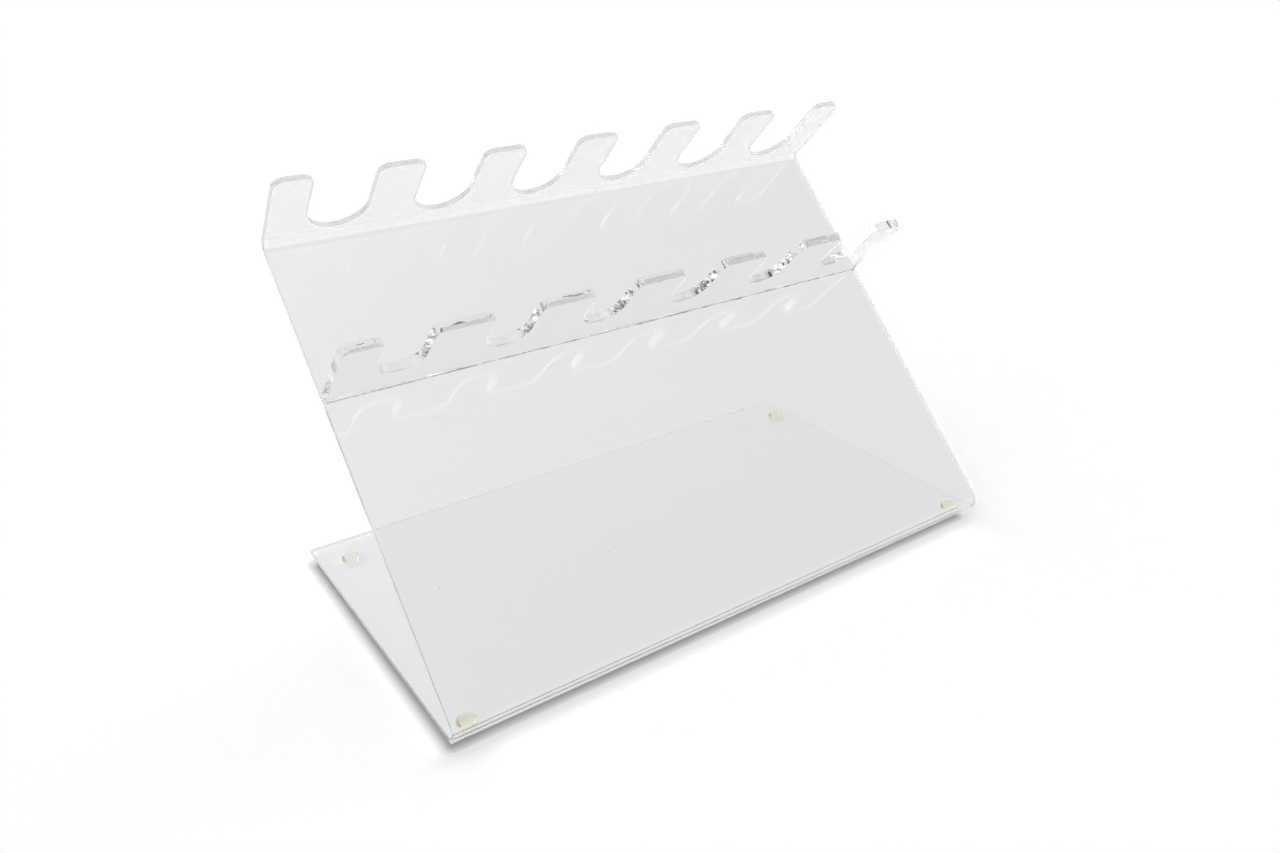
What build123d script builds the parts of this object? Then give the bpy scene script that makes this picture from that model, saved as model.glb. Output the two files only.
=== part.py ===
from build123d import *
import os
from math import radians, sqrt, tan

# A clear acrylic comb rack for hobby tools: a bent sheet, a second comb bonded to its face and four feet.
# X runs along the rows of notches, Y from the front fold to the back edge, Z up.
# The origin is on the surface that the rack stands on, under the middle of its overall box.

# Driving dimensions, in millimetres and degrees
width = 400.0
base_depth = 220.0           # front of the fold to the back edge of the base
sheet = 3.0                  # thickness of the bent sheet
bend_radius = 5.0            # inside radius of both bends
lean = 45.0                  # angle between the base and the panel
panel_length = 303.0         # front of the panel, between the sharp corners of its two bends
flange_reach = 61.0          # square off the front of the panel, to the tips of the upper comb

strip = 6.0                  # thickness of the lower comb
strip_reach = 59.0           # square off the front of the panel, to the tips of the lower comb
strip_height = 203.0         # along the panel, from the fold's sharp corner to the strip's lower face
strip_length = 399.0         # cut a little short of the sheet

notch_count = 6
notch_pitch = 64.0
upper_notch_width = 36.0
upper_notch_root = 9.5       # front of the panel to the bottom of a notch
lower_notch_width = 28.0
lower_notch_root = 20.0
lower_notch_shift = -2.0     # the lower notches stand a little nearer the left end
upper_tip_radius = 6.5
lower_tip_radius = 5.0

seam_size = 1.2              # legs of the cement fillet under the lower comb

foot_diameter = 12.0
foot_height = 4.0
foot_flat = 6.5              # diameter of the flat that the foot stands on
foot_rim = 0.8               # straight wall next to the base
foot_insets = {              # stuck on by hand: distance in from the nearest side, and from the front or back
    "foot_front_left": (13.5, 14.5),
    "foot_front_right": (10.5, 14.5),
    "foot_back_left": (20.0, 21.5),
    "foot_back_right": (11.5, 22.5),
}

# Worked out from the driving dimensions
outside_radius = bend_radius + sheet
fold_setback = outside_radius / tan(radians(lean / 2)) - outside_radius
along_panel = Vector(0, 1, 1) / sqrt(2)
off_panel = Vector(0, -1, 1) / sqrt(2)
back_edge = Vector(0, base_depth / 2, foot_height)
fold_corner = Vector(0, -base_depth / 2 - fold_setback, foot_height)
top_corner = fold_corner + along_panel * panel_length
upper_tip = top_corner + off_panel * flange_reach
strip_corner = fold_corner + along_panel * strip_height
lower_tip = strip_corner + off_panel * strip_reach


def comb_plane(tip):
    """The lower face of a comb: its x is along the row, its y points out of the panel, and y = 0 at the tips."""
    return Plane(origin=tip, x_dir=(1, 0, 0), z_dir=-along_panel)


def cut_notches(plane, notch_width, depth, shift=0.0):
    """A row of U-shaped notches, open at the tips of the comb, through the comb's whole thickness."""
    with BuildSketch(plane) as notches:
        with Locations((shift, 0)):
            with GridLocations(notch_pitch, 0, notch_count, 1):
                SlotOverall(2 * depth, notch_width, rotation=90)
    extrude(notches.sketch, amount=2 * strip, both=True, mode=Mode.SUBTRACT)


def tip_corners(comb, tip):
    """The corner edges of the finger tips, which run through the comb's thickness."""
    return comb.edges().filter_by(Axis(tip, along_panel)).group_by(Axis(tip, off_panel))[-1]


# The bent sheet: base, panel and upper comb, one piece with two bends
with BuildPart() as bent_sheet:
    with BuildSketch(Plane.YZ):
        with BuildLine():
            FilletPolyline(
                (back_edge.Y, back_edge.Z),
                (fold_corner.Y, fold_corner.Z),
                (top_corner.Y, top_corner.Z),
                (upper_tip.Y, upper_tip.Z),
                radius=(outside_radius, bend_radius),
            )
            offset(amount=sheet, side=Side.RIGHT)
        make_face()
    extrude(amount=width / 2, both=True)
    cut_notches(comb_plane(upper_tip), upper_notch_width, flange_reach - upper_notch_root)
    fillet(tip_corners(bent_sheet, upper_tip), upper_tip_radius)

# The lower comb: a thicker strip that stands square off the panel on its long back edge
with BuildPart() as lower_comb:
    with BuildSketch(comb_plane(lower_tip)):
        Rectangle(strip_length, strip_reach, align=(Align.CENTER, Align.MAX))
    extrude(amount=-strip)
    cut_notches(comb_plane(lower_tip), lower_notch_width, strip_reach - lower_notch_root, lower_notch_shift)
    fillet(tip_corners(lower_comb, lower_tip), lower_tip_radius)

# The cement that bonds the lower comb: a hollow fillet in the corner under the strip
seam_plane = Plane(origin=strip_corner, x_dir=off_panel, z_dir=(1, 0, 0))
with BuildPart() as cement_seam:
    with BuildSketch(seam_plane):
        with BuildLine():
            Polyline((seam_size, 0), (0, 0), (0, seam_size))
            RadiusArc((0, seam_size), (seam_size, 0), -seam_size)
        make_face()
    extrude(amount=strip_length / 2, both=True)


def foot(x, y):
    """A domed foot stuck to the underside of the base, with a small flat to stand on."""
    radius = foot_diameter / 2
    with BuildPart() as made:
        with BuildSketch(Plane(origin=(x, y, 0), x_dir=(1, 0, 0), z_dir=(0, -1, 0))):
            with BuildLine():
                Polyline(
                    (foot_flat / 2, 0),
                    (0, 0),
                    (0, foot_height),
                    (radius, foot_height),
                    (radius, foot_height - foot_rim),
                )
                RadiusArc((radius, foot_height - foot_rim), (foot_flat / 2, 0), radius)
            make_face()
        revolve(axis=Axis((x, y, 0), (0, 0, 1)))
    return made


feet = {}
for name, (side_inset, end_inset) in foot_insets.items():
    side = -1 if name.endswith("left") else 1
    end = -1 if "front" in name else 1
    feet[name] = foot(side * (width / 2 - side_inset), end * (base_depth / 2 - end_inset))

pieces = {"bent_sheet": bent_sheet, "lower_comb": lower_comb, "cement_seam": cement_seam, **feet}
os.makedirs("parts", exist_ok=True)
for name, piece in pieces.items():
    piece.part.label = name
    export_step(piece.part, f"parts/{name}.step")
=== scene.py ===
from math import cos, pi, radians, sin, sqrt, tan

import bmesh
import bpy
from mathutils import Matrix, Vector, noise


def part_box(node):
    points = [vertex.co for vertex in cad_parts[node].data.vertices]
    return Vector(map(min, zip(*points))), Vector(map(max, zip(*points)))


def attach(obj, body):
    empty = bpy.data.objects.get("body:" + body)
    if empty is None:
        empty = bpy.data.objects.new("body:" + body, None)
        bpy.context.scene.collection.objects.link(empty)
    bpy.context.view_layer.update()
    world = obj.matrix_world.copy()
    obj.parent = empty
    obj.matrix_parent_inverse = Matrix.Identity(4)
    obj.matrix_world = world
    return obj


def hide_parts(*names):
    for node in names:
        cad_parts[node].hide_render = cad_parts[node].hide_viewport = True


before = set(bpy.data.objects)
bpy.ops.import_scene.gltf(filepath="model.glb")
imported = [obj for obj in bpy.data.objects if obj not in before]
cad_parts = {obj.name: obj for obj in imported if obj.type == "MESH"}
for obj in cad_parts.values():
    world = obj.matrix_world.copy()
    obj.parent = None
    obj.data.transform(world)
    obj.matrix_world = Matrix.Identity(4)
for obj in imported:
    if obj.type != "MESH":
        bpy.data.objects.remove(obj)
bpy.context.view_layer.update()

# Sizes of the rack, in metres. The places come from the frame.
SHEET = 0.003                # the bent sheet
STRIP = 0.006                # the lower comb
BEND = 0.005                 # inside radius of both bends
OUTSIDE = BEND + SHEET
LEAN = radians(45)
NOTCHES = 6
PITCH = 0.064
UPPER = {"reach": 0.061, "notch": 0.036, "root": 0.0095, "shift": 0.0, "tip": 0.0065}
LOWER = {"reach": 0.059, "notch": 0.028, "root": 0.020, "shift": -0.002, "tip": 0.005}
EDGE_ROUND = 0.00022         # the cut edges are very slightly rounded
SHARP = radians(40)          # an edge that turns by more than this is a cut edge
BOND_GAP = 0.00002           # the width of the cemented joint

sheet_lo, sheet_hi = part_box("bent_sheet")
comb_lo, comb_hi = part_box("lower_comb")
HALF = sheet_hi.x
BASE_BOTTOM = sheet_lo.z
ALONG = Vector((0, cos(LEAN), sin(LEAN)))      # up the panel
OFF = Vector((0, -sin(LEAN), cos(LEAN)))       # square off the front of the panel
ACROSS = Vector((1, 0, 0))
FOLD_TANGENT = OUTSIDE / tan(LEAN / 2)         # from the fold's sharp corner to where its arc starts
FOLD_CORNER = Vector((0, sheet_lo.y + OUTSIDE - FOLD_TANGENT, BASE_BOTTOM))
PANEL = (sheet_hi.z - BASE_BOTTOM) / sin(LEAN) - UPPER["reach"] - SHEET
TOP_CORNER = FOLD_CORNER + ALONG * PANEL
STRIP_AT = (comb_lo.z - BASE_BOTTOM) / sin(LEAN)
STRIP_CORNER = FOLD_CORNER + ALONG * STRIP_AT


# ---------------------------------------------------------------- shapes

FOLD_STEPS = 36              # flat facets in the front fold
BEND_STEPS = 28              # and in the top bend
BOND_ROW = FOLD_STEPS + 2    # the row of the panel, between two stations, that the lower comb is cemented to
EDGE, BOND = 1, 2            # material slots of the sheet and of the lower comb, where slot 0 is the skin


def arc(centre, radius, start, turn, steps):
    """Points on an arc, as (x, y) pairs."""
    angles = [start + turn * i / steps for i in range(steps + 1)]
    return [(centre[0] + radius * cos(angle), centre[1] + radius * sin(angle)) for angle in angles]


def comb_outline(half, comb):
    """The free edge of a comb from left to right, as (x, v), where v is the distance off the panel."""
    reach, radius = comb["reach"], comb["notch"] / 2
    tip = comb["tip"]
    centres = [comb["shift"] + PITCH * (i - (NOTCHES - 1) / 2) for i in range(NOTCHES)]
    lefts = [-half] + [c + radius for c in centres]
    rights = [c - radius for c in centres] + [half]
    points = []
    for finger, (left, right) in enumerate(zip(lefts, rights)):
        points += arc((left + tip, reach - tip), tip, pi, -pi / 2, 8)
        points += arc((right - tip, reach - tip), tip, pi / 2, -pi / 2, 8)
        if finger < NOTCHES:
            points += arc((centres[finger], comb["root"] + radius), radius, pi, pi, 40)
    return points


def profile():
    """Stations along the sheet, from the back of the base to the upper comb, as pairs of points on its skins.

    The first point is on the skin that runs under the base, round the fold and up the front of the panel."""
    stations = [(Vector((0, sheet_hi.y, BASE_BOTTOM)), Vector((0, sheet_hi.y, BASE_BOTTOM + SHEET)))]
    fold_centre = FOLD_CORNER + Vector((0, FOLD_TANGENT, OUTSIDE))
    for i in range(FOLD_STEPS + 1):
        angle = -pi / 2 - (pi - LEAN) * i / FOLD_STEPS
        way = Vector((0, cos(angle), sin(angle)))
        stations.append((fold_centre + way * OUTSIDE, fold_centre + way * BEND))
    for s in (STRIP_AT, STRIP_AT + STRIP):
        point = FOLD_CORNER + ALONG * s
        stations.append((point, point - OFF * SHEET))
    bend_centre = TOP_CORNER + (OFF - ALONG) * BEND
    for i in range(BEND_STEPS + 1):
        angle = pi / 2 * i / BEND_STEPS
        way = ALONG * sin(angle) - OFF * cos(angle)
        stations.append((bend_centre + way * BEND, bend_centre + way * OUTSIDE))
    return stations


def finish_mesh(bm, name, materials, rounded):
    """Makes the object, its cut edges slightly rounded and its flat faces shaded flat."""
    bmesh.ops.recalc_face_normals(bm, faces=bm.faces)
    sharp = [
        e for e in bm.edges
        if len(e.link_faces) == 2 and e.calc_face_angle() > SHARP
        and BOND not in [f.material_index for f in e.link_faces]
    ]
    bmesh.ops.bevel(
        bm, geom=sharp, offset=rounded, offset_type="OFFSET", segments=3, profile=0.5,
        affect="EDGES", clamp_overlap=True, material=-1,
    )
    for face in bm.faces:
        face.smooth = True
    mesh = bpy.data.meshes.new(name)
    bm.to_mesh(mesh)
    bm.free()
    made = bpy.data.objects.new(name, mesh)
    bpy.context.scene.collection.objects.link(made)
    for material in materials:
        mesh.materials.append(material)
    weighted = made.modifiers.new("flat faces", "WEIGHTED_NORMAL")
    weighted.mode = "FACE_AREA"
    weighted.weight = 100
    weighted.keep_sharp = True
    return made


def wall(bm, fronts, backs, index):
    """The cut edge: quads between two rows of vertices."""
    for i in range(len(fronts) - 1):
        face = bm.faces.new((fronts[i], fronts[i + 1], backs[i + 1], backs[i]))
        face.material_index = index


def bent_sheet_piece(materials):
    """The base, the panel and the upper comb, bent from one sheet."""
    bm = bmesh.new()
    stations = profile()
    left = [[bm.verts.new(p - ACROSS * HALF) for p in pair] for pair in stations]
    right = [[bm.verts.new(p + ACROSS * HALF) for p in pair] for pair in stations]
    for i in range(len(stations) - 1):
        for side in (0, 1):
            face = bm.faces.new((left[i][side], right[i][side], right[i + 1][side], left[i + 1][side]))
            if side == 0 and i == BOND_ROW:
                face.material_index = BOND
    outline = comb_outline(HALF, UPPER)
    front = [bm.verts.new(TOP_CORNER + ACROSS * x + OFF * v) for x, v in outline]
    back = [bm.verts.new(TOP_CORNER + ACROSS * x + OFF * v + ALONG * SHEET) for x, v in outline]
    bm.faces.new([left[-1][0]] + front + [right[-1][0]])
    bm.faces.new([left[-1][1]] + back + [right[-1][1]])
    rim = [v[0] for v in left] + front + [v[0] for v in reversed(right)]
    rim_back = [v[1] for v in left] + back + [v[1] for v in reversed(right)]
    wall(bm, rim + rim[:1], rim_back + rim_back[:1], EDGE)
    return finish_mesh(bm, "bent_sheet_acrylic", materials, EDGE_ROUND)


def lower_comb_piece(materials):
    """The thick comb strip. The face that is cemented to the panel stays sharp."""
    bm = bmesh.new()
    half = comb_hi.x
    outline = [(-half, BOND_GAP)] + comb_outline(half, LOWER) + [(half, BOND_GAP)]
    front = [bm.verts.new(STRIP_CORNER + ACROSS * x + OFF * v) for x, v in outline]
    back = [bm.verts.new(STRIP_CORNER + ACROSS * x + OFF * v + ALONG * STRIP) for x, v in outline]
    bm.faces.new(front)
    bm.faces.new(back)
    wall(bm, front, back, EDGE)
    bm.faces.new((front[-1], front[0], back[0], back[-1])).material_index = BOND
    return finish_mesh(bm, "lower_comb_acrylic", materials, EDGE_ROUND)


SEAM_SHORT = 0.0006          # how far the bead stops short of the strip's ends
SEAM_FILL = 0.96             # the part of its CAD section that it fills at most
SEAM_STEPS = 520


def cement_seam_piece(material):
    """The cement in the corner under the lower comb: a hollow fillet that swells, thins out and beads."""
    bm = bmesh.new()
    half = comb_hi.x - SEAM_SHORT
    seam_lo, seam_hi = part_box("cement_seam")
    leg = (seam_hi.y - seam_lo.y) / cos(LEAN) * SEAM_FILL
    inset = BOND_GAP * 2
    rings = []
    for i in range(SEAM_STEPS + 1):
        x = -half + 2 * half * i / SEAM_STEPS
        slow = noise.noise(Vector((x * 95, 0.3, 1.7)))
        quick = noise.noise(Vector((x * 420, 4.1, 0)))
        size = leg * min(1.0, max(0.32, 0.75 + 0.5 * slow + 0.35 * quick))
        hollow = 0.339 + 0.186 * noise.noise(Vector((x * 260, 9.2, 3.3)))
        ring = []
        for out, down in ((0, 0), (1, 0), (hollow, hollow), (0, 1)):
            place = STRIP_CORNER + OFF * (inset + size * out) - ALONG * (inset + size * down)
            ring.append(bm.verts.new(place + ACROSS * x))
        rings.append(ring)
    for a, b in zip(rings, rings[1:]):
        for k in range(4):
            bm.faces.new((a[k], a[(k + 1) % 4], b[(k + 1) % 4], b[k]))
    bm.faces.new(rings[0])
    bm.faces.new(rings[-1])
    bmesh.ops.recalc_face_normals(bm, faces=bm.faces)
    mesh = bpy.data.meshes.new("cement_bead")
    bm.to_mesh(mesh)
    bm.free()
    made = bpy.data.objects.new("cement_bead", mesh)
    bpy.context.scene.collection.objects.link(made)
    mesh.materials.append(material)
    return made


def lathe(name, outline, centre, material, steps=64):
    """A round piece about a vertical axis, from (radius, height) pairs that start and end on the axis."""
    bm = bmesh.new()
    rows = []
    for radius, height in outline:
        if radius == 0:
            rows.append([bm.verts.new((centre.x, centre.y, height))])
            continue
        row = []
        for i in range(steps):
            turn = 2 * pi * i / steps
            row.append(bm.verts.new((centre.x + radius * cos(turn), centre.y + radius * sin(turn), height)))
        rows.append(row)
    for low, high in zip(rows, rows[1:]):
        for i in range(steps):
            j = (i + 1) % steps
            corners = (
                [low[i], low[j], high[0]] if len(high) == 1
                else [low[0], high[j], high[i]] if len(low) == 1
                else [low[i], low[j], high[j], high[i]]
            )
            bm.faces.new(corners).smooth = True
    bmesh.ops.recalc_face_normals(bm, faces=bm.faces)
    mesh = bpy.data.meshes.new(name)
    bm.to_mesh(mesh)
    bm.free()
    made = bpy.data.objects.new(name, mesh)
    bpy.context.scene.collection.objects.link(made)
    mesh.materials.append(material)
    return made


FOOT_FLAT = 0.00325          # radius of the flat that a foot stands on
FOOT_RIM = 0.0008            # height of its wall, next to the base
FOOT_SOFT = 0.00025          # how far its edges are softened
FOOT_GLUE = 0.00003          # what its adhesive leaves between it and the base
DOME_STEPS = 14


def foot_piece(node, material):
    """A domed bumper foot: a flat adhesive face on the base, a short wall, a dome and a flat to stand on."""
    lo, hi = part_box(node)
    centre = (lo + hi) / 2
    radius = (hi.x - lo.x) / 2
    top = hi.z - FOOT_GLUE
    outline = [(0, lo.z), (FOOT_FLAT / 2, lo.z), (FOOT_FLAT - FOOT_SOFT, lo.z)]
    # the dome is an arc of the foot's own radius, from the flat to the wall
    start, end = Vector((FOOT_FLAT, lo.z)), Vector((radius, hi.z - FOOT_RIM))
    chord = end - start
    rise = sqrt(radius ** 2 - (chord.length / 2) ** 2)
    hub = (start + end) / 2 + Vector((-chord.y, chord.x)).normalized() * rise
    for i in range(DOME_STEPS + 1):
        way = (start.lerp(end, i / DOME_STEPS) - hub).normalized()
        outline.append((hub.x + way.x * radius, hub.y + way.y * radius))
    outline.append((radius, top - FOOT_SOFT))
    outline.append((radius - FOOT_SOFT * 0.3, top - FOOT_SOFT * 0.3))
    outline += [(radius - FOOT_SOFT, top), (radius / 2, top), (0, top)]
    return lathe(node + "_bumper", outline, centre, material)


# ---------------------------------------------------------------- materials

ACRYLIC_IOR = 1.491
BUMPER_IOR = 1.49


def new_material(name):
    material = bpy.data.materials.new(name)
    material.use_nodes = True
    nodes = material.node_tree.nodes
    return material, nodes, material.node_tree.links, nodes["Principled BSDF"]


def noise_texture(nodes, links, vector, scale, detail=4.0, rough=0.5, distortion=0.0):
    made = nodes.new("ShaderNodeTexNoise")
    made.inputs["Scale"].default_value = scale
    made.inputs["Detail"].default_value = detail
    made.inputs["Roughness"].default_value = rough
    made.inputs["Distortion"].default_value = distortion
    links.new(vector, made.inputs["Vector"])
    return made.outputs["Fac"]


def mapped(nodes, links, vector, scale, turn=(0, 0, 0)):
    made = nodes.new("ShaderNodeMapping")
    made.inputs["Scale"].default_value = scale
    made.inputs["Rotation"].default_value = turn
    links.new(vector, made.inputs["Vector"])
    return made.outputs["Vector"]


def span(nodes, links, value, low, high, to_low, to_high):
    """Takes low..high to to_low..to_high, and holds what is outside."""
    made = nodes.new("ShaderNodeMapRange")
    made.inputs["From Min"].default_value = low
    made.inputs["From Max"].default_value = high
    made.inputs["To Min"].default_value = to_low
    made.inputs["To Max"].default_value = to_high
    links.new(value, made.inputs["Value"])
    return made.outputs["Result"]


def smooth(nodes, links, value, low, high, to_low, to_high):
    """As span, with a soft start and end."""
    result = span(nodes, links, value, low, high, to_low, to_high)
    result.node.interpolation_type = "SMOOTHSTEP"
    return result


def combine(nodes, links, operation, first, second):
    """One Math node. Either value is a number or another node's output."""
    made = nodes.new("ShaderNodeMath")
    made.operation = operation
    for socket, value in zip(made.inputs, (first, second)):
        if isinstance(value, float):
            socket.default_value = value
        else:
            links.new(value, socket)
    return made.outputs["Value"]


def scratches(nodes, links, position, turn, density):
    """Hairline scratches: long thin streaks of noise, all one way, and only here and there."""
    drawn_out = mapped(nodes, links, position, (14, 900, 900), turn)
    streaks = noise_texture(nodes, links, drawn_out, 1.0, 2.0, 0.5, 0.3)
    patches = noise_texture(nodes, links, mapped(nodes, links, position, (22, 22, 22), turn), 1.0, 1.0)
    lines = span(nodes, links, streaks, density, density + 0.03, 0.0, 1.0)
    where = span(nodes, links, patches, 0.52, 0.62, 0.0, 1.0)
    return combine(nodes, links, "MULTIPLY", lines, where)


def specks(nodes, links, position, per_metre, size, rarity):
    """1 at small round specks, in a share of the cells of a scattered grid, and 0 between them."""
    cells = nodes.new("ShaderNodeTexVoronoi")
    cells.inputs["Scale"].default_value = per_metre
    links.new(position, cells.inputs["Vector"])
    spot = span(nodes, links, cells.outputs["Distance"], size * 0.6, size, 1.0, 0.0)
    pick = nodes.new("ShaderNodeSeparateColor")
    links.new(cells.outputs["Color"], pick.inputs["Color"])
    chosen = combine(nodes, links, "GREATER_THAN", pick.outputs["Red"], rarity)
    return combine(nodes, links, "MULTIPLY", spot, chosen)


def tinted(nodes, links, amount, plain, marked):
    """A colour that goes from plain to marked as amount goes from 0 to 1."""
    made = nodes.new("ShaderNodeMix")
    made.data_type = "RGBA"
    made.inputs["A"].default_value = plain
    made.inputs["B"].default_value = marked
    links.new(amount, made.inputs["Factor"])
    return made.outputs["Result"]


def absorbs(nodes, links, colour, density):
    """Light is coloured and lost on its way through the piece."""
    absorb = nodes.new("ShaderNodeVolumeAbsorption")
    absorb.inputs["Color"].default_value = (*colour, 1)
    absorb.inputs["Density"].default_value = density
    links.new(absorb.outputs["Volume"], nodes["Material Output"].inputs["Volume"])


def bumped(nodes, links, shader, height, distance):
    """Waves in the surface, as deep as distance."""
    bump = nodes.new("ShaderNodeBump")
    bump.inputs["Distance"].default_value = distance
    links.new(height, bump.inputs["Height"])
    links.new(bump.outputs["Normal"], shader.inputs["Normal"])


SCRATCHES = (((0.2, 0.7, 0.4), 0.70), ((1.1, 0.3, 1.3), 0.72))      # two sets: which way, and how rare
DUST_COLOUR = (0.50, 0.47, 0.43)
RIPPLE_TURN = (1.1, 0.3, 1.3)
SHEET_DEPTH = ((0.80, 0.81, 0.76), 0.8)                             # how the acrylic itself absorbs light


def acrylic(name, tint, dull, worn, wave, ripple, depth=SHEET_DEPTH):
    """Clear acrylic, with smears, scratches, lint and dust.

    Its roughness is dull, and worn where it is marked. Its ripples are spaced by wave and ripple deep."""
    material, nodes, links, shader = new_material(name)
    shader.inputs["Transmission Weight"].default_value = 1.0
    shader.inputs["IOR"].default_value = ACRYLIC_IOR
    position = nodes.new("ShaderNodeTexCoord").outputs["Object"]
    smears = noise_texture(nodes, links, position, 26.0, 5.0, 0.6, 1.2)
    smeared = span(nodes, links, smears, 0.64, 0.9, 0.0, 0.04)
    for turn, rarity in SCRATCHES:
        smeared = combine(nodes, links, "MAXIMUM", smeared, scratches(nodes, links, position, turn, rarity))
    dust = specks(nodes, links, position, 90.0, 0.06, 0.88)
    links.new(tinted(nodes, links, dust, (*tint, 1), (*DUST_COLOUR, 1)), shader.inputs["Base Color"])
    lint = specks(nodes, links, position, 150.0, 0.07, 0.70)
    smeared = combine(nodes, links, "MAXIMUM", smeared, lint)
    links.new(span(nodes, links, smeared, 0.0, 1.0, dull, worn), shader.inputs["Roughness"])
    ripples = noise_texture(nodes, links, mapped(nodes, links, position, wave, RIPPLE_TURN), 1.0, 2.0)
    bumped(nodes, links, shader, ripples, ripple)
    absorbs(nodes, links, *depth)
    return material


def bond():
    """The welded face: light goes straight through, except at small bubbles and dry spots in the cement."""
    material, nodes, links, shader = new_material("cement_bond")
    shader.inputs["Base Color"].default_value = (1, 1, 1, 1)
    shader.inputs["Transmission Weight"].default_value = 1.0
    shader.inputs["IOR"].default_value = ACRYLIC_IOR
    shader.inputs["Roughness"].default_value = 0.0
    clear = nodes.new("ShaderNodeBsdfTransparent")
    position = nodes.new("ShaderNodeTexCoord").outputs["Object"]
    patches = noise_texture(nodes, links, mapped(nodes, links, position, (60, 300, 300)), 1.0, 3.0)
    dry = span(nodes, links, patches, 0.60, 0.63, 0.0, 1.0)
    mix = nodes.new("ShaderNodeMixShader")
    links.new(dry, mix.inputs["Fac"])
    links.new(clear.outputs["BSDF"], mix.inputs[1])
    links.new(shader.outputs["BSDF"], mix.inputs[2])
    links.new(mix.outputs["Shader"], nodes["Material Output"].inputs["Surface"])
    return material


def bumper():
    """Soft clear polyurethane, a little yellow, with a faint haze."""
    material, nodes, links, shader = new_material("clear_bumper")
    position = nodes.new("ShaderNodeTexCoord").outputs["Object"]
    haze = noise_texture(nodes, links, position, 420.0, 3.0)
    shader.inputs["Base Color"].default_value = (0.99, 0.975, 0.93, 1)
    shader.inputs["Transmission Weight"].default_value = 0.96
    shader.inputs["IOR"].default_value = BUMPER_IOR
    links.new(span(nodes, links, haze, 0.3, 0.7, 0.01, 0.07), shader.inputs["Roughness"])
    bumped(nodes, links, shader, noise_texture(nodes, links, position, 900.0, 2.0), 0.00004)
    absorbs(nodes, links, (0.93, 0.88, 0.72), 75.0)
    return material


# ---------------------------------------------------------------- the rack

HAZE = (0.958, 0.960, 0.958)         # a little light is lost at each polished face
CLEAR = (1, 1, 1)
# Painted shade: the cement absorbs light darkly so that it shows the dark line which refraction makes at the
# joint, though solvent cement itself is clear.
CEMENT_PAINTED_DARKNESS = ((0.34, 0.32, 0.29), 1300)
skin_material = acrylic("clear_acrylic_face", HAZE, 0.0, 0.16, (9, 9, 9), 0.00006)
edge_material = acrylic("clear_acrylic_cut_edge", CLEAR, 0.25, 0.35, (160, 160, 40), 0.000008)
strip_edge_material = acrylic("thick_cut_edge", CLEAR, 0.0, 0.06, (420, 420, 60), 0.00003)
bond_material = bond()
cement_material = acrylic("cement", CLEAR, 0.0, 0.1, (500, 500, 500), 0.00006, CEMENT_PAINTED_DARKNESS)
bumper_material = bumper()

sheet = bent_sheet_piece((skin_material, edge_material, bond_material))
comb = lower_comb_piece((skin_material, strip_edge_material, bond_material))
seam = cement_seam_piece(cement_material)
for piece, replaced, slot in (
    (sheet, "bent_sheet", "clear_acrylic"),
    (comb, "lower_comb", "clear_acrylic"),
    (seam, "cement_seam", "cement"),
):
    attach(piece, "root")
    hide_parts(replaced)

for name in ("foot_front_left", "foot_front_right", "foot_back_left", "foot_back_right"):
    foot = foot_piece(name, bumper_material)
    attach(foot, "root")
    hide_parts(name)


# ---------------------------------------------------------------- floor, light and camera

SKY = 1.565                  # how bright the sky is overhead,
HORIZON = 0.99               # and at the horizon, where it matches the paper
RISES = (0.12, 0.55)         # the heights in the sky between which it brightens
DIM = 0.01                   # how bright the dim patch in front is, which the panel reflects
DIM_WAY = (0.50, -0.70, 0.42)
DIM_RADII = (radians(56), radians(30))
DIM_ABOVE = (0.15, 0.32)     # it stands clear of the horizon, and is full above the second of these heights
BACK = 0.95                  # how bright the patch behind is, which the base reflects
BACK_WAY = (0.40, 0.74, 0.52)
BACK_RADII = (radians(38), radians(18))

BASE_LEFT, BASE_RIGHT = sheet_lo.x, sheet_hi.x
BASE_FRONT, BASE_BACK = sheet_lo.y + OUTSIDE, sheet_hi.y
PAPER = (0.90, 0.92)         # the grain of the paper goes between these
# Painted shade: a contact shadow is painted into the paper's colour along the left edge and the front fold of
# the base.
PAINTED_SHADOW_INSIDE = {"left": 0.0012, "front": 0.0002}      # how far inside the base it is darkest
PAINTED_SHADOW_REACH = {"left": 0.0078, "front": 0.0116}       # how far outside the base it reaches
PAINTED_SHADOW_DEPTH = 0.69         # how dark it is
PAINTED_SHADOW_INNER = 0.10         # the part of its width over which it fades inside the base
PAINTED_SHADOW_ENDS = 0.012         # how far from the base's other edges it starts to end
PAINTED_SHADOW_FALL_OFF = ((0, 1), (0.5, 0.35), (0.6, 0.13), (1, 0))   # how it pales outwards
# Painted light: the paper is painted a little whiter in front of the fold, where the panel shades it.
PAINTED_LIGHT = 0.038
PAINTED_LIGHT_STARTS = 0.055          # how far in front of the fold this starts,
PAINTED_LIGHT_FULL = 0.012            # and is full
PAINTED_LIGHT_ENDS = 0.004            # how far behind the fold it ends
PAINTED_LIGHT_SIDES = 0.03            # over what width it starts and ends at the sides


def painted_shadow_fall_off(nodes, links, value):
    """How the painted contact shadow pales outwards: from 1 at 0 to 0 at 1, fast at the middle."""
    made = nodes.new("ShaderNodeFloatCurve")
    curve = made.mapping.curves[0]
    for x, y in PAINTED_SHADOW_FALL_OFF[1:-1]:
        curve.points.new(x, y)
    curve.points[0].location = PAINTED_SHADOW_FALL_OFF[0]
    curve.points[-1].location = PAINTED_SHADOW_FALL_OFF[-1]
    made.mapping.update()
    links.new(value, made.inputs["Value"])
    return made.outputs["Value"]


def product(nodes, links, values):
    result = values[0]
    for value in values[1:]:
        result = combine(nodes, links, "MULTIPLY", result, value)
    return result


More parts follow.
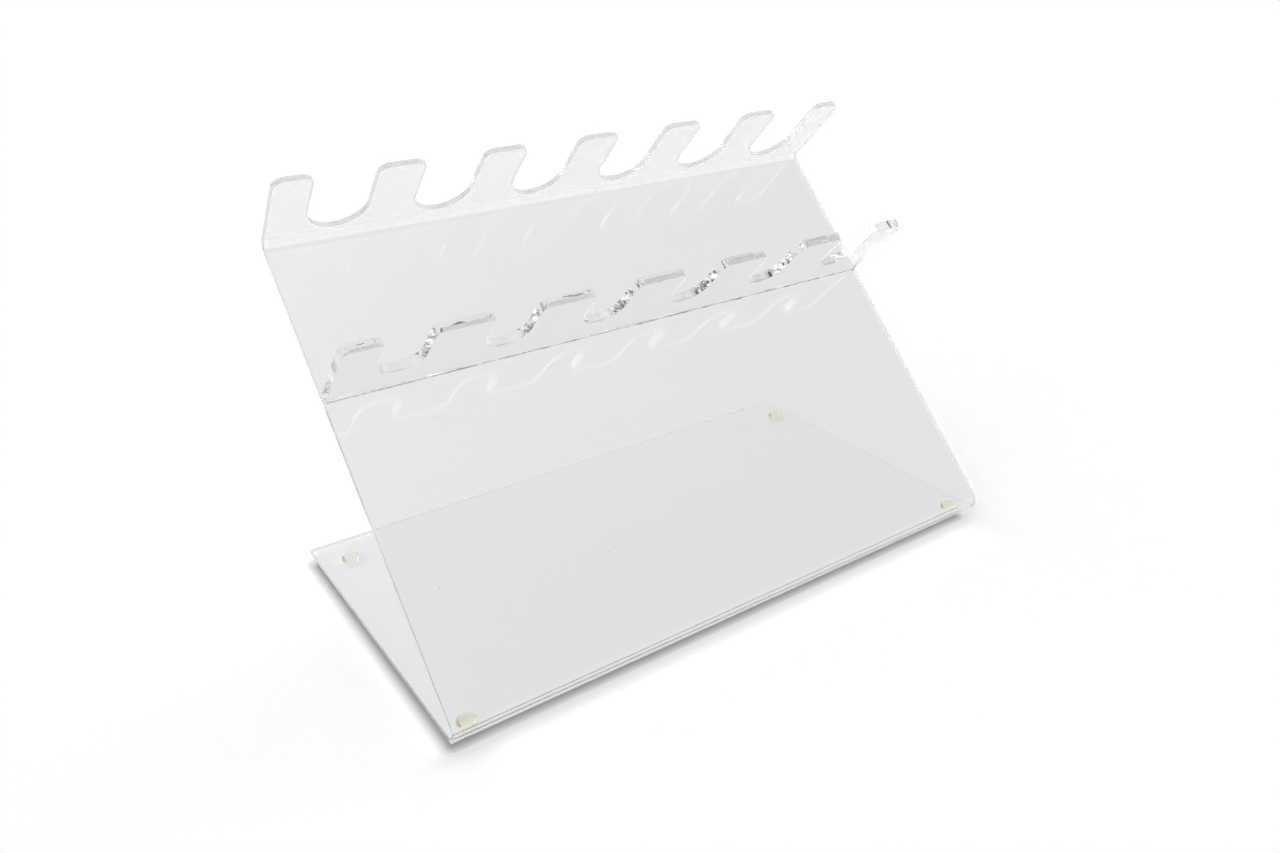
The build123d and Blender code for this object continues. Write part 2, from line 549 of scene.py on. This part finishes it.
def painted_contact_shadow(nodes, links, x, y):
    """How dark the painted contact shadow is at a place on the paper."""
    outward = {}
    for side, across, edge in (("left", x, BASE_LEFT), ("front", y, BASE_FRONT)):
        darkest, furthest = edge + PAINTED_SHADOW_INSIDE[side], edge - PAINTED_SHADOW_REACH[side]
        outward[side] = span(nodes, links, across, darkest, furthest, 0.0, 1.0)
        outward[side].node.clamp = False
    outside = [combine(nodes, links, "MAXIMUM", outward[side], 0.0) for side in ("left", "front")]
    squares = [combine(nodes, links, "POWER", distance, 2.0) for distance in outside]
    away = combine(nodes, links, "POWER", combine(nodes, links, "ADD", *squares), 0.5)
    nearest = combine(nodes, links, "MAXIMUM", outward["left"], outward["front"])
    return product(nodes, links, (
        painted_shadow_fall_off(nodes, links, away),
        smooth(nodes, links, nearest, -PAINTED_SHADOW_INNER, 0.0, 0.0, PAINTED_SHADOW_DEPTH),
        smooth(nodes, links, x, BASE_RIGHT - PAINTED_SHADOW_ENDS, BASE_RIGHT, 1.0, 0.0),
        smooth(nodes, links, y, BASE_BACK - PAINTED_SHADOW_ENDS, BASE_BACK, 1.0, 0.0),
    ))


def lifted(nodes, links, x, y):
    """How much whiter than the rest the paper is painted at a place, as painted light: 1 and a little more,
    in front of the fold.
    """
    more = product(nodes, links, (
        smooth(nodes, links, y, BASE_FRONT - PAINTED_LIGHT_STARTS, BASE_FRONT - PAINTED_LIGHT_FULL, 0.0, PAINTED_LIGHT),
        smooth(nodes, links, y, BASE_FRONT + PAINTED_LIGHT_ENDS, BASE_FRONT, 0.0, 1.0),
        smooth(nodes, links, x, BASE_LEFT, BASE_LEFT + PAINTED_LIGHT_SIDES, 0.0, 1.0),
        smooth(nodes, links, x, BASE_RIGHT, BASE_RIGHT - PAINTED_LIGHT_SIDES, 0.0, 1.0),
    ))
    return combine(nodes, links, "ADD", more, 1.0)


def make_floor():
    """White paper, with a contact shadow painted along the left edge and the front fold of the base, and
    painted light in front of the fold.
    """
    material, nodes, links, shader = new_material("white_paper_painted_light_and_shade")
    position = nodes.new("ShaderNodeTexCoord").outputs["Object"]
    place = nodes.new("ShaderNodeSeparateXYZ")
    links.new(position, place.inputs["Vector"])
    x, y = place.outputs["X"], place.outputs["Y"]
    grain = noise_texture(nodes, links, position, 900.0, 4.0)
    # The paper's colour carries painted light in front of the fold and a painted contact shadow along the
    # base.
    brightness = product(nodes, links, (
        span(nodes, links, grain, 0.0, 1.0, *PAPER),
        lifted(nodes, links, x, y),
        span(nodes, links, painted_contact_shadow(nodes, links, x, y), 0.0, 1.0, 1.0, 0.0),
    ))
    links.new(brightness, shader.inputs["Base Color"])
    shader.inputs["Roughness"].default_value = 0.9
    shader.inputs["Specular IOR Level"].default_value = 0.0
    bpy.ops.mesh.primitive_plane_add(size=60, location=(0, 0, 0))
    floor = bpy.context.object
    floor.name = "floor"
    floor.data.materials.append(material)


def toward(nodes, links, way, direction):
    """How nearly a direction in the sky faces another: 1 along it, 0 square to it."""
    facing = nodes.new("ShaderNodeVectorMath")
    facing.operation = "DOT_PRODUCT"
    facing.inputs[1].default_value = Vector(direction).normalized()
    links.new(way, facing.inputs[0])
    return facing.outputs["Value"]


def patch(nodes, links, way, middle, radii):
    """A round patch of the sky: 0 outside the first radius, and 1 inside the second."""
    return smooth(nodes, links, toward(nodes, links, way, middle), cos(radii[0]), cos(radii[1]), 0.0, 1.0)


def make_world():
    """A soft white sky, with a dim patch up in front of the object and a less dim one behind it."""
    world = bpy.data.worlds.new("studio")
    bpy.context.scene.world = world
    world.use_nodes = True
    nodes, links = world.node_tree.nodes, world.node_tree.links
    way = nodes.new("ShaderNodeTexCoord").outputs["Generated"]
    place = nodes.new("ShaderNodeSeparateXYZ")
    links.new(way, place.inputs["Vector"])
    height = place.outputs["Z"]
    sky = smooth(nodes, links, height, *RISES, HORIZON, SKY)
    above = smooth(nodes, links, height, *DIM_ABOVE, 0.0, 1.0)
    front = combine(nodes, links, "MULTIPLY", patch(nodes, links, way, DIM_WAY, DIM_RADII), above)
    behind = patch(nodes, links, way, BACK_WAY, BACK_RADII)
    level = product(nodes, links, (
        sky,
        span(nodes, links, behind, 0.0, 1.0, 1.0, BACK / SKY),
        span(nodes, links, front, 0.0, 1.0, 1.0, 0.0),
    ))
    level = combine(nodes, links, "ADD", level, DIM)
    links.new(level, nodes["Background"].inputs["Strength"])
    nodes["Background"].inputs["Color"].default_value = (1, 1, 1, 1)


YAW, PITCH_DOWN, ROLL = radians(34.44), radians(26.34), radians(0.66)
CAMERA_PLACE = (-0.3441, -0.4892, 0.3809)
LENS = 28.87                 # in millimetres, on a sensor 36 mm wide


def make_camera():
    """At the photograph's viewing angle: from the front left, looking down."""
    forward = Vector((sin(YAW) * cos(PITCH_DOWN), cos(YAW) * cos(PITCH_DOWN), -sin(PITCH_DOWN)))
    right = Vector((cos(YAW), -sin(YAW), 0))
    down = forward.cross(right)
    across = right * cos(ROLL) + down * sin(ROLL)
    up = right * sin(ROLL) - down * cos(ROLL)
    camera = bpy.data.cameras.new("camera")
    camera.sensor_width = 36
    camera.lens = LENS
    camera.clip_start, camera.clip_end = 0.01, 100
    made = bpy.data.objects.new("camera", camera)
    bpy.context.scene.collection.objects.link(made)
    turn = Matrix((across, up, -forward)).transposed().to_4x4()
    made.matrix_world = Matrix.Translation(CAMERA_PLACE) @ turn
    bpy.context.scene.camera = made


COMBINED = 3                 # the curve that grades all three colours


def grade(points):
    """Grades the picture as the photograph looks: the paper is lifted to white, and the sheet less so."""
    view = bpy.context.scene.view_settings
    view.view_transform = "Standard"
    view.use_curve_mapping = True
    curve = view.curve_mapping.curves[COMBINED]
    for x, y in points[1:-1]:
        curve.points.new(x, y)
    curve.points[0].location = points[0]
    curve.points[-1].location = points[-1]
    for point in curve.points:
        point.handle_type = "VECTOR"
    view.curve_mapping.update()


make_floor()
make_world()
make_camera()
grade(((0, 0), (0.74, 0.735), (0.80, 0.76), (0.88, 0.78), (0.925, 0.83), (0.965, 0.89), (1, 1)))

# light bounces many times inside the clear sheet before it leaves, and that isn't cut short or blurred
cycles = bpy.context.scene.cycles
cycles.max_bounces = 160
cycles.transmission_bounces = 160
cycles.glossy_bounces = 160
cycles.transparent_max_bounces = 24
cycles.blur_glossy = 0.0
cycles.use_adaptive_sampling = False
